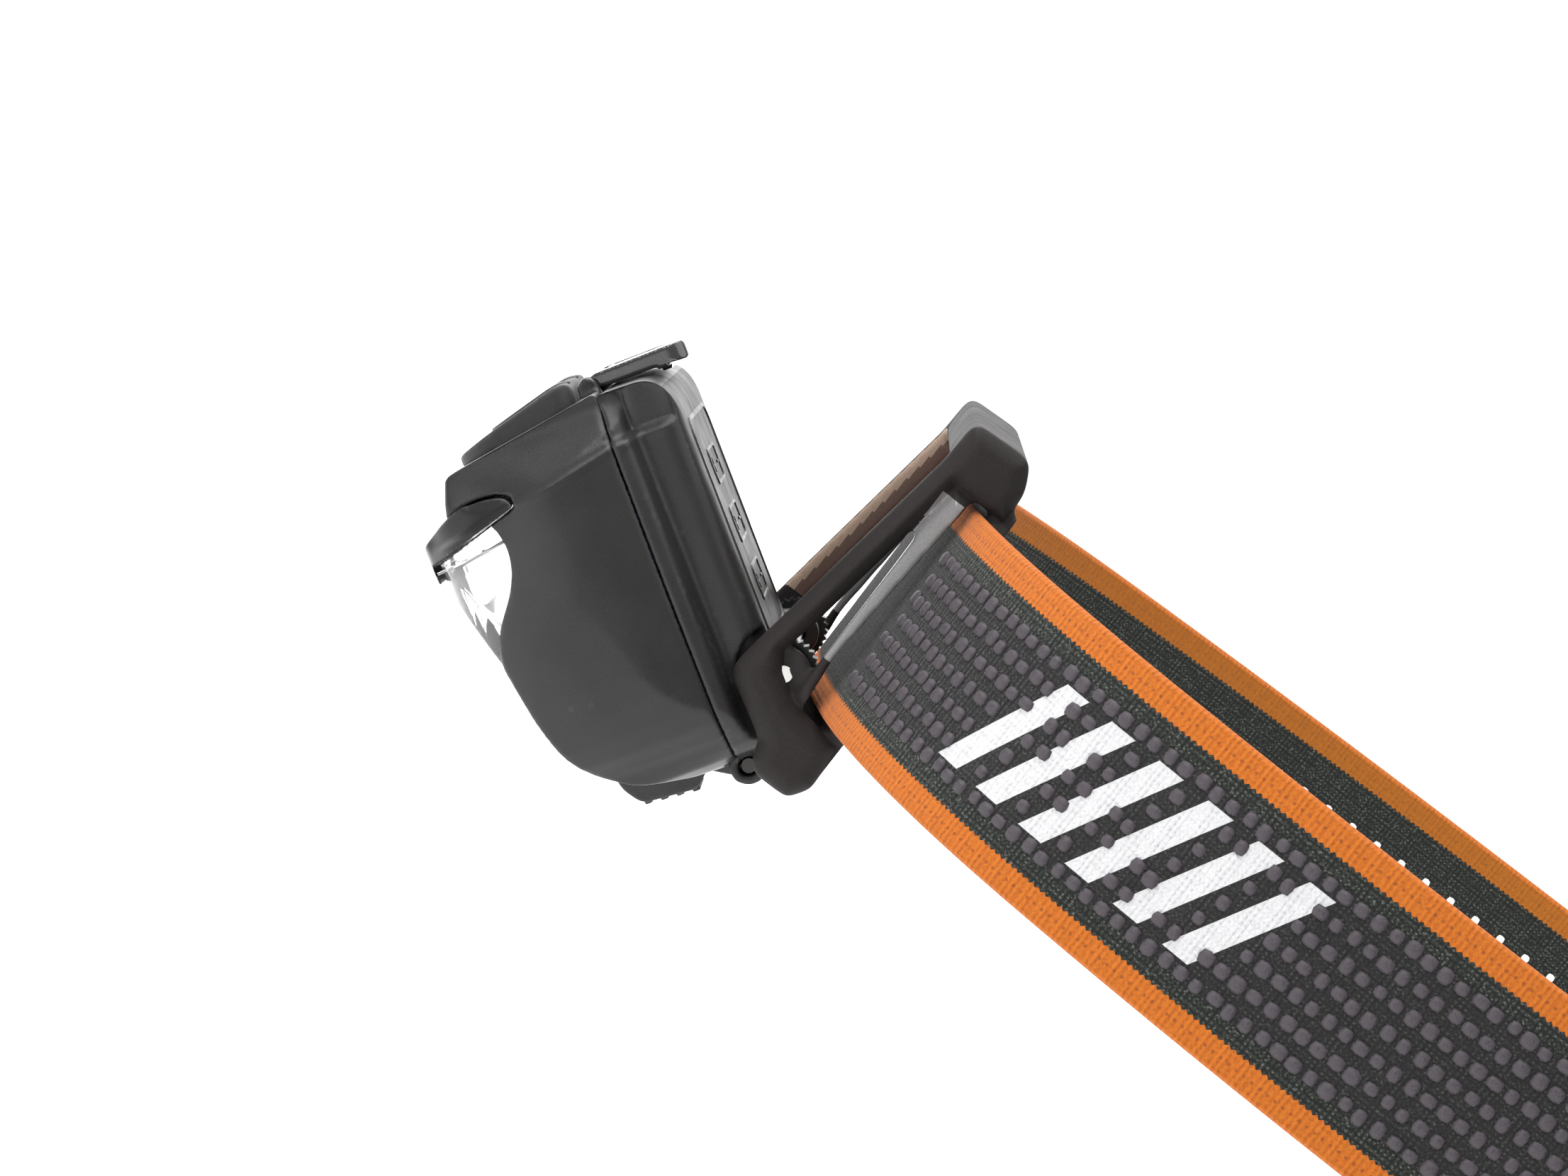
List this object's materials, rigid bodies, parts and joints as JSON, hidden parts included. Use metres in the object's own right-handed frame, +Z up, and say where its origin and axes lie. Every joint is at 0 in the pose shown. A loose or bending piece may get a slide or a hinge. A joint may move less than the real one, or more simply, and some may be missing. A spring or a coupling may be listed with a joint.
{
  "type": "headlamp",
  "caption": "Headlamp with a tilting lamp head, hinged battery cover, latch, push buttons and a strap bracket on an elastic headband.",
  "frame": {"origin": "middle of the rear face of the bracket's forehead plate, where it bears on the wearer's forehead", "axes": "+Z up, -Y the way the wearer looks, +X the wearer's left; the headband lies level"},
  "size_m": [0.1516, 0.2334, 0.0626],
  "materials": {
    "shell_plastic": "matt black moulded plastic with a fine grain",
    "trim_plastic": "darker satin moulded plastic",
    "bracket_plastic": "warm charcoal satin plastic",
    "rubber_part": "matt black silicone rubber",
    "lens_clear": "clear polished polycarbonate",
    "mirror_coat": "vacuum metallised reflector",
    "steel_part": "plated steel",
    "sink_metal": "bare aluminium",
    "board_plastic": "green lacquered circuit board",
    "led_phosphor": "yellow phosphor",
    "cell_wrap": "shrink wrapped cells",
    "band_knit": "dark elastic knit with orange edges and rubber bumps"
  },
  "bodies": {
    "bracket": {"bracket_frame": "bracket_plastic", "tilt_pin": "steel_part", "click_spring_left": "steel_part", "click_spring_right": "steel_part", "headband": "band_knit", "strap_tail": "band_knit"},
    "adjuster": {"adjuster_slider": "trim_plastic"},
    "rear_cover": {"rear_cover": "shell_plastic", "cover_seal": "rubber_part", "ratchet_wheel_left": "trim_plastic", "ratchet_wheel_right": "trim_plastic"},
    "front_housing": {"front_housing": "shell_plastic", "brow_trim": "trim_plastic", "front_lens": "lens_clear", "lens_seal": "rubber_part", "spot_reflector": "mirror_coat", "flood_reflector": "mirror_coat", "spot_led": "led_phosphor", "flood_led_inner": "led_phosphor", "flood_led_outer": "led_phosphor", "led_board": "board_plastic", "heat_sink": "sink_metal", "board_screw_1": "steel_part", "board_screw_2": "steel_part", "board_screw_3": "steel_part", "board_screw_4": "steel_part", "driver_board": "board_plastic", "power_switch": "steel_part", "mode_switch": "steel_part", "usb_socket": "steel_part", "battery_pack": "cell_wrap", "contact_spring": "steel_part", "contact_plate": "steel_part", "button_pad": "rubber_part", "latch_pin": "steel_part", "cover_hinge_pin": "steel_part"},
    "power_button": {"power_button": "rubber_part"},
    "mode_button": {"mode_button": "rubber_part"},
    "latch_lever": {"latch_lever": "trim_plastic"},
    "port_plug": {"port_plug": "rubber_part"}
  },
  "joints": [
    {"name": "lamp_tilt", "type": "hinge", "parent": "bracket", "child": "rear_cover", "pos_m": [0, -0.0072, -0.01365], "axis": [1, 0, 0], "range_deg": [-57, 0]},
    {"name": "battery_cover", "type": "hinge", "parent": "rear_cover", "child": "front_housing", "pos_m": [0, -0.00359, -0.02566], "axis": [1, 0, 0], "range_deg": [0, 70]},
    {"name": "latch", "type": "hinge", "parent": "front_housing", "child": "latch_lever", "pos_m": [0, -0.0459, -0.00225], "axis": [1, 0, 0], "range_deg": [0, 80]},
    {"name": "power_press", "type": "slide", "parent": "front_housing", "child": "power_button", "axis": [0, 0.8499, -0.527], "range_m": [0, 0.0006], "stiffness_N_per_m": 800},
    {"name": "mode_press", "type": "slide", "parent": "front_housing", "child": "mode_button", "axis": [0, 0.8499, -0.527], "range_m": [0, 0.0006], "stiffness_N_per_m": 800},
    {"name": "port_flap", "type": "hinge", "parent": "front_housing", "child": "port_plug", "pos_m": [0, -0.00763, -0.03009], "axis": [1, 0, 0], "range_deg": [0, 65]},
    {"name": "strap_adjust", "type": "slide", "parent": "bracket", "child": "adjuster", "axis": [1, 0, 0], "range_m": [-0.01, 0.01]}
  ]
}
